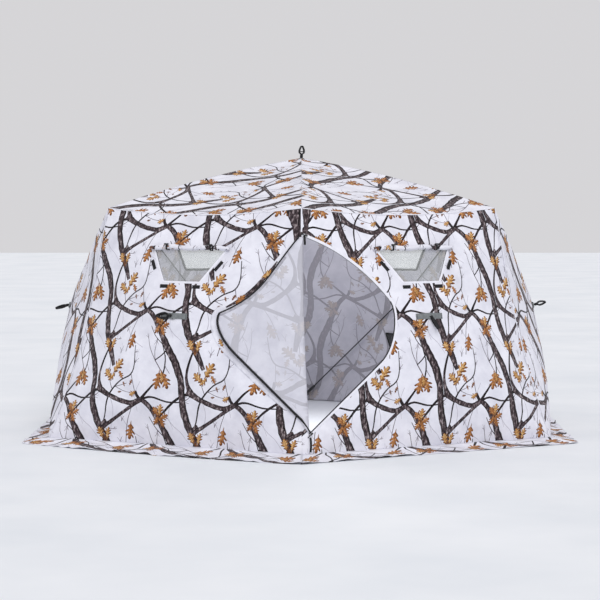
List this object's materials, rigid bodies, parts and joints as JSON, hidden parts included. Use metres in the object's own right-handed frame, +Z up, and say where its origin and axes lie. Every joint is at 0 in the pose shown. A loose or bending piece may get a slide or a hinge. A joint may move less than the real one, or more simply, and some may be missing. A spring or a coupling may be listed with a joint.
{
  "type": "ice fishing shelter",
  "caption": "Six-sided pop-up winter tent with hub-and-rod walls, low roof, snow skirt, folding door flap and film windows.",
  "frame": {"origin": "centre of the floor, on the ground", "axes": "+Z up, -Y from the centre towards the corner that holds the door, +X to the right of someone facing the door"},
  "size_m": [4.1916, 4.84, 2.2653],
  "materials": {
    "white_fabric": "matt coated winter fabric",
    "flap_fabric": "matt coated winter fabric, reverse side",
    "black_plastic": "moulded",
    "rod_fibreglass": "pultruded rod",
    "black_webbing": "woven webbing",
    "clear_film": "soft clear film",
    "black_metal": "painted die casting",
    "dark_mesh": "open mesh"
  },
  "bodies": {
    "shell": {"wall_front_right": "white_fabric", "wall_right": "white_fabric", "wall_back_right": "white_fabric", "wall_back_left": "white_fabric", "wall_left": "white_fabric", "wall_front_left": "white_fabric", "roof_canopy": "white_fabric", "snow_skirt": "white_fabric", "window_film_front_right": "clear_film", "window_film_back_right": "clear_film", "window_film_back_left": "clear_film", "window_film_front_left": "clear_film", "inner_pocket": "dark_mesh"},
    "front_right_hub": {"hub_front_right": "black_plastic", "pull_loop_front_right": "black_webbing"},
    "rod_front_right_lower_left": {"rod_front_right_lower_left": "rod_fibreglass"},
    "rod_front_right_lower_right": {"rod_front_right_lower_right": "rod_fibreglass"},
    "rod_front_right_upper_right": {"rod_front_right_upper_right": "rod_fibreglass"},
    "rod_front_right_upper_left": {"rod_front_right_upper_left": "rod_fibreglass"},
    "right_hub": {"hub_right": "black_plastic", "pull_loop_right": "black_webbing"},
    "rod_right_lower_left": {"rod_right_lower_left": "rod_fibreglass"},
    "rod_right_lower_right": {"rod_right_lower_right": "rod_fibreglass"},
    "rod_right_upper_right": {"rod_right_upper_right": "rod_fibreglass"},
    "rod_right_upper_left": {"rod_right_upper_left": "rod_fibreglass"},
    "back_right_hub": {"hub_back_right": "black_plastic", "pull_loop_back_right": "black_webbing"},
    "rod_back_right_lower_left": {"rod_back_right_lower_left": "rod_fibreglass"},
    "rod_back_right_lower_right": {"rod_back_right_lower_right": "rod_fibreglass"},
    "rod_back_right_upper_right": {"rod_back_right_upper_right": "rod_fibreglass"},
    "rod_back_right_upper_left": {"rod_back_right_upper_left": "rod_fibreglass"},
    "back_left_hub": {"hub_back_left": "black_plastic", "pull_loop_back_left": "black_webbing"},
    "rod_back_left_lower_left": {"rod_back_left_lower_left": "rod_fibreglass"},
    "rod_back_left_lower_right": {"rod_back_left_lower_right": "rod_fibreglass"},
    "rod_back_left_upper_right": {"rod_back_left_upper_right": "rod_fibreglass"},
    "rod_back_left_upper_left": {"rod_back_left_upper_left": "rod_fibreglass"},
    "left_hub": {"hub_left": "black_plastic", "pull_loop_left": "black_webbing"},
    "rod_left_lower_left": {"rod_left_lower_left": "rod_fibreglass"},
    "rod_left_lower_right": {"rod_left_lower_right": "rod_fibreglass"},
    "rod_left_upper_right": {"rod_left_upper_right": "rod_fibreglass"},
    "rod_left_upper_left": {"rod_left_upper_left": "rod_fibreglass"},
    "front_left_hub": {"hub_front_left": "black_plastic", "pull_loop_front_left": "black_webbing"},
    "rod_front_left_lower_left": {"rod_front_left_lower_left": "rod_fibreglass"},
    "rod_front_left_lower_right": {"rod_front_left_lower_right": "rod_fibreglass"},
    "rod_front_left_upper_right": {"rod_front_left_upper_right": "rod_fibreglass"},
    "rod_front_left_upper_left": {"rod_front_left_upper_left": "rod_fibreglass"},
    "roof_hub": {"hub_roof": "black_plastic", "pull_loop_roof": "black_webbing"},
    "rod_roof_front": {"rod_roof_front": "rod_fibreglass"},
    "rod_roof_right_front": {"rod_roof_right_front": "rod_fibreglass"},
    "rod_roof_right_back": {"rod_roof_right_back": "rod_fibreglass"},
    "rod_roof_back": {"rod_roof_back": "rod_fibreglass"},
    "rod_roof_left_back": {"rod_roof_left_back": "rod_fibreglass"},
    "rod_roof_left_front": {"rod_roof_left_front": "rod_fibreglass"},
    "door_flap": {"door_flap": "flap_fabric"},
    "zip_slider_lower": {"zip_slider_lower": "black_metal"},
    "zip_slider_upper": {"zip_slider_upper": "black_metal"}
  },
  "joints": [
    {"name": "front_right_hub_pop", "type": "slide", "parent": "shell", "child": "front_right_hub", "axis": [0.4882, -0.8455, 0.2162], "range_m": [-0.4274, 0]},
    {"name": "front_right_lower_left_rod_fold", "type": "hinge", "parent": "front_right_hub", "child": "rod_front_right_lower_left", "pos_m": [0.8988, -1.60767, 0.95064], "axis": [-0.6551, -0.1913, 0.7309], "range_deg": [0, 19.1]},
    {"name": "front_right_lower_right_rod_fold", "type": "hinge", "parent": "front_right_hub", "child": "rod_front_right_lower_right", "pos_m": [0.94288, -1.58221, 0.95064], "axis": [-0.4933, -0.4717, -0.7309], "range_deg": [0, 19.1]},
    {"name": "front_right_upper_right_rod_fold", "type": "hinge", "parent": "front_right_hub", "child": "rod_front_right_upper_right", "pos_m": [0.93665, -1.57419, 0.99609], "axis": [0.6881, 0.2205, -0.6913], "range_deg": [0, 22.85]},
    {"name": "front_right_upper_left_rod_fold", "type": "hinge", "parent": "front_right_hub", "child": "rod_front_right_upper_left", "pos_m": [0.89496, -1.59826, 0.99609], "axis": [0.5351, 0.4857, 0.6913], "range_deg": [0, 22.85]},
    {"name": "right_hub_pop", "type": "slide", "parent": "shell", "child": "right_hub", "axis": [0.9764, 0, 0.2162], "range_m": [-0.4274, 0]},
    {"name": "right_lower_left_rod_fold", "type": "hinge", "parent": "right_hub", "child": "rod_right_lower_left", "pos_m": [1.84168, -0.02545, 0.95064], "axis": [-0.1618, -0.663, 0.7309], "range_deg": [0, 19.1]},
    {"name": "right_lower_right_rod_fold", "type": "hinge", "parent": "right_hub", "child": "rod_right_lower_right", "pos_m": [1.84168, 0.02545, 0.95064], "axis": [0.1618, -0.663, -0.7309], "range_deg": [0, 19.1]},
    {"name": "right_upper_right_rod_fold", "type": "hinge", "parent": "right_hub", "child": "rod_right_upper_right", "pos_m": [1.83161, 0.02407, 0.99609], "axis": [0.1531, 0.7062, -0.6913], "range_deg": [0, 22.85]},
    {"name": "right_upper_left_rod_fold", "type": "hinge", "parent": "right_hub", "child": "rod_right_upper_left", "pos_m": [1.83161, -0.02407, 0.99609], "axis": [-0.1531, 0.7062, 0.6913], "range_deg": [0, 22.85]},
    {"name": "back_right_hub_pop", "type": "slide", "parent": "shell", "child": "back_right_hub", "axis": [0.4882, 0.8455, 0.2162], "range_m": [-0.4274, 0]},
    {"name": "back_right_lower_left_rod_fold", "type": "hinge", "parent": "back_right_hub", "child": "rod_back_right_lower_left", "pos_m": [0.94288, 1.58221, 0.95064], "axis": [0.4933, -0.4717, 0.7309], "range_deg": [0, 19.1]},
    {"name": "back_right_lower_right_rod_fold", "type": "hinge", "parent": "back_right_hub", "child": "rod_back_right_lower_right", "pos_m": [0.8988, 1.60767, 0.95064], "axis": [0.6551, -0.1913, -0.7309], "range_deg": [0, 19.1]},
    {"name": "back_right_upper_right_rod_fold", "type": "hinge", "parent": "back_right_hub", "child": "rod_back_right_upper_right", "pos_m": [0.89496, 1.59826, 0.99609], "axis": [-0.5351, 0.4857, -0.6913], "range_deg": [0, 22.85]},
    {"name": "back_right_upper_left_rod_fold", "type": "hinge", "parent": "back_right_hub", "child": "rod_back_right_upper_left", "pos_m": [0.93665, 1.57419, 0.99609], "axis": [-0.6881, 0.2205, 0.6913], "range_deg": [0, 22.85]},
    {"name": "back_left_hub_pop", "type": "slide", "parent": "shell", "child": "back_left_hub", "axis": [-0.4882, 0.8455, 0.2162], "range_m": [-0.4274, 0]},
    {"name": "back_left_lower_left_rod_fold", "type": "hinge", "parent": "back_left_hub", "child": "rod_back_left_lower_left", "pos_m": [-0.8988, 1.60767, 0.95064], "axis": [0.6551, 0.1913, 0.7309], "range_deg": [0, 19.1]},
    {"name": "back_left_lower_right_rod_fold", "type": "hinge", "parent": "back_left_hub", "child": "rod_back_left_lower_right", "pos_m": [-0.94288, 1.58221, 0.95064], "axis": [0.4933, 0.4717, -0.7309], "range_deg": [0, 19.1]},
    {"name": "back_left_upper_right_rod_fold", "type": "hinge", "parent": "back_left_hub", "child": "rod_back_left_upper_right", "pos_m": [-0.93665, 1.57419, 0.99609], "axis": [-0.6881, -0.2205, -0.6913], "range_deg": [0, 22.85]},
    {"name": "back_left_upper_left_rod_fold", "type": "hinge", "parent": "back_left_hub", "child": "rod_back_left_upper_left", "pos_m": [-0.89496, 1.59826, 0.99609], "axis": [-0.5351, -0.4857, 0.6913], "range_deg": [0, 22.85]},
    {"name": "left_hub_pop", "type": "slide", "parent": "shell", "child": "left_hub", "axis": [-0.9764, 0, 0.2162], "range_m": [-0.4274, 0]},
    {"name": "left_lower_left_rod_fold", "type": "hinge", "parent": "left_hub", "child": "rod_left_lower_left", "pos_m": [-1.84168, 0.02545, 0.95064], "axis": [0.1618, 0.663, 0.7309], "range_deg": [0, 19.1]},
    {"name": "left_lower_right_rod_fold", "type": "hinge", "parent": "left_hub", "child": "rod_left_lower_right", "pos_m": [-1.84168, -0.02545, 0.95064], "axis": [-0.1618, 0.663, -0.7309], "range_deg": [0, 19.1]},
    {"name": "left_upper_right_rod_fold", "type": "hinge", "parent": "left_hub", "child": "rod_left_upper_right", "pos_m": [-1.83161, -0.02407, 0.99609], "axis": [-0.1531, -0.7062, -0.6913], "range_deg": [0, 22.85]},
    {"name": "left_upper_left_rod_fold", "type": "hinge", "parent": "left_hub", "child": "rod_left_upper_left", "pos_m": [-1.83161, 0.02407, 0.99609], "axis": [0.1531, -0.7062, 0.6913], "range_deg": [0, 22.85]},
    {"name": "front_left_hub_pop", "type": "slide", "parent": "shell", "child": "front_left_hub", "axis": [-0.4882, -0.8455, 0.2162], "range_m": [-0.4274, 0]},
    {"name": "front_left_lower_left_rod_fold", "type": "hinge", "parent": "front_left_hub", "child": "rod_front_left_lower_left", "pos_m": [-0.94288, -1.58221, 0.95064], "axis": [-0.4933, 0.4717, 0.7309], "range_deg": [0, 19.1]},
    {"name": "front_left_lower_right_rod_fold", "type": "hinge", "parent": "front_left_hub", "child": "rod_front_left_lower_right", "pos_m": [-0.8988, -1.60767, 0.95064], "axis": [-0.6551, 0.1913, -0.7309], "range_deg": [0, 19.1]},
    {"name": "front_left_upper_right_rod_fold", "type": "hinge", "parent": "front_left_hub", "child": "rod_front_left_upper_right", "pos_m": [-0.89496, -1.59826, 0.99609], "axis": [0.5351, -0.4857, -0.6913], "range_deg": [0, 22.85]},
    {"name": "front_left_upper_left_rod_fold", "type": "hinge", "parent": "front_left_hub", "child": "rod_front_left_upper_left", "pos_m": [-0.93665, -1.57419, 0.99609], "axis": [0.6881, -0.2205, 0.6913], "range_deg": [0, 22.85]},
    {"name": "roof_hub_pop", "type": "slide", "parent": "shell", "child": "roof_hub", "axis": [0, 0, 1], "range_m": [-0.788, 0]},
    {"name": "roof_front_rod_fold", "type": "hinge", "parent": "roof_hub", "child": "rod_roof_front", "pos_m": [0, -0.034, 2.126], "axis": [-1, 0, 0], "range_deg": [0, 29.07]},
    {"name": "roof_right_front_rod_fold", "type": "hinge", "parent": "roof_hub", "child": "rod_roof_right_front", "pos_m": [0.02944, -0.017, 2.126], "axis": [-0.5, -0.866, 0], "range_deg": [0, 29.07]},
    {"name": "roof_right_back_rod_fold", "type": "hinge", "parent": "roof_hub", "child": "rod_roof_right_back", "pos_m": [0.02944, 0.017, 2.126], "axis": [0.5, -0.866, 0], "range_deg": [0, 29.07]},
    {"name": "roof_back_rod_fold", "type": "hinge", "parent": "roof_hub", "child": "rod_roof_back", "pos_m": [0, 0.034, 2.126], "axis": [1, 0, 0], "range_deg": [0, 29.07]},
    {"name": "roof_left_back_rod_fold", "type": "hinge", "parent": "roof_hub", "child": "rod_roof_left_back", "pos_m": [-0.02944, 0.017, 2.126], "axis": [0.5, 0.866, 0], "range_deg": [0, 29.07]},
    {"name": "roof_left_front_rod_fold", "type": "hinge", "parent": "roof_hub", "child": "rod_roof_left_front", "pos_m": [-0.02944, -0.017, 2.126], "axis": [-0.5, 0.866, 0], "range_deg": [0, 29.07]},
    {"name": "door_flap_fold", "type": "hinge", "parent": "shell", "child": "door_flap", "pos_m": [0, -1.91391, 0.97181], "axis": [0, 0.2477, 0.9688], "range_deg": [0, 210.6]},
    {"name": "zip_slider_lower_run", "type": "slide", "parent": "shell", "child": "zip_slider_lower", "axis": [0.6791, 0.366, 0.6363], "range_m": [0, 0.724]},
    {"name": "zip_slider_upper_run", "type": "hinge", "parent": "shell", "child": "zip_slider_upper", "pos_m": [-0.35656, -2.17034, 0.33803], "axis": [-0.2786, 0.9305, -0.2379], "range_deg": [0, 31.3]}
  ],
  "couplings": [
    {"joint": "front_right_lower_left_rod_fold", "follows": "front_right_hub_pop", "rad_per_m": -0.73913},
    {"joint": "front_right_lower_right_rod_fold", "follows": "front_right_hub_pop", "rad_per_m": -0.73913},
    {"joint": "front_right_upper_right_rod_fold", "follows": "front_right_hub_pop", "rad_per_m": -0.89227},
    {"joint": "front_right_upper_left_rod_fold", "follows": "front_right_hub_pop", "rad_per_m": -0.89227},
    {"joint": "right_lower_left_rod_fold", "follows": "right_hub_pop", "rad_per_m": -0.73913},
    {"joint": "right_lower_right_rod_fold", "follows": "right_hub_pop", "rad_per_m": -0.73913},
    {"joint": "right_upper_right_rod_fold", "follows": "right_hub_pop", "rad_per_m": -0.89227},
    {"joint": "right_upper_left_rod_fold", "follows": "right_hub_pop", "rad_per_m": -0.89227},
    {"joint": "back_right_lower_left_rod_fold", "follows": "back_right_hub_pop", "rad_per_m": -0.73913},
    {"joint": "back_right_lower_right_rod_fold", "follows": "back_right_hub_pop", "rad_per_m": -0.73913},
    {"joint": "back_right_upper_right_rod_fold", "follows": "back_right_hub_pop", "rad_per_m": -0.89227},
    {"joint": "back_right_upper_left_rod_fold", "follows": "back_right_hub_pop", "rad_per_m": -0.89227},
    {"joint": "back_left_lower_left_rod_fold", "follows": "back_left_hub_pop", "rad_per_m": -0.73913},
    {"joint": "back_left_lower_right_rod_fold", "follows": "back_left_hub_pop", "rad_per_m": -0.73913},
    {"joint": "back_left_upper_right_rod_fold", "follows": "back_left_hub_pop", "rad_per_m": -0.89227},
    {"joint": "back_left_upper_left_rod_fold", "follows": "back_left_hub_pop", "rad_per_m": -0.89227},
    {"joint": "left_lower_left_rod_fold", "follows": "left_hub_pop", "rad_per_m": -0.73913},
    {"joint": "left_lower_right_rod_fold", "follows": "left_hub_pop", "rad_per_m": -0.73913},
    {"joint": "left_upper_right_rod_fold", "follows": "left_hub_pop", "rad_per_m": -0.89227},
    {"joint": "left_upper_left_rod_fold", "follows": "left_hub_pop", "rad_per_m": -0.89227},
    {"joint": "front_left_lower_left_rod_fold", "follows": "front_left_hub_pop", "rad_per_m": -0.73913},
    {"joint": "front_left_lower_right_rod_fold", "follows": "front_left_hub_pop", "rad_per_m": -0.73913},
    {"joint": "front_left_upper_right_rod_fold", "follows": "front_left_hub_pop", "rad_per_m": -0.89227},
    {"joint": "front_left_upper_left_rod_fold", "follows": "front_left_hub_pop", "rad_per_m": -0.89227},
    {"joint": "roof_front_rod_fold", "follows": "roof_hub_pop", "rad_per_m": -0.62177},
    {"joint": "roof_right_front_rod_fold", "follows": "roof_hub_pop", "rad_per_m": -0.62177},
    {"joint": "roof_right_back_rod_fold", "follows": "roof_hub_pop", "rad_per_m": -0.62177},
    {"joint": "roof_back_rod_fold", "follows": "roof_hub_pop", "rad_per_m": -0.62177},
    {"joint": "roof_left_back_rod_fold", "follows": "roof_hub_pop", "rad_per_m": -0.62177},
    {"joint": "roof_left_front_rod_fold", "follows": "roof_hub_pop", "rad_per_m": -0.62177}
  ]
}
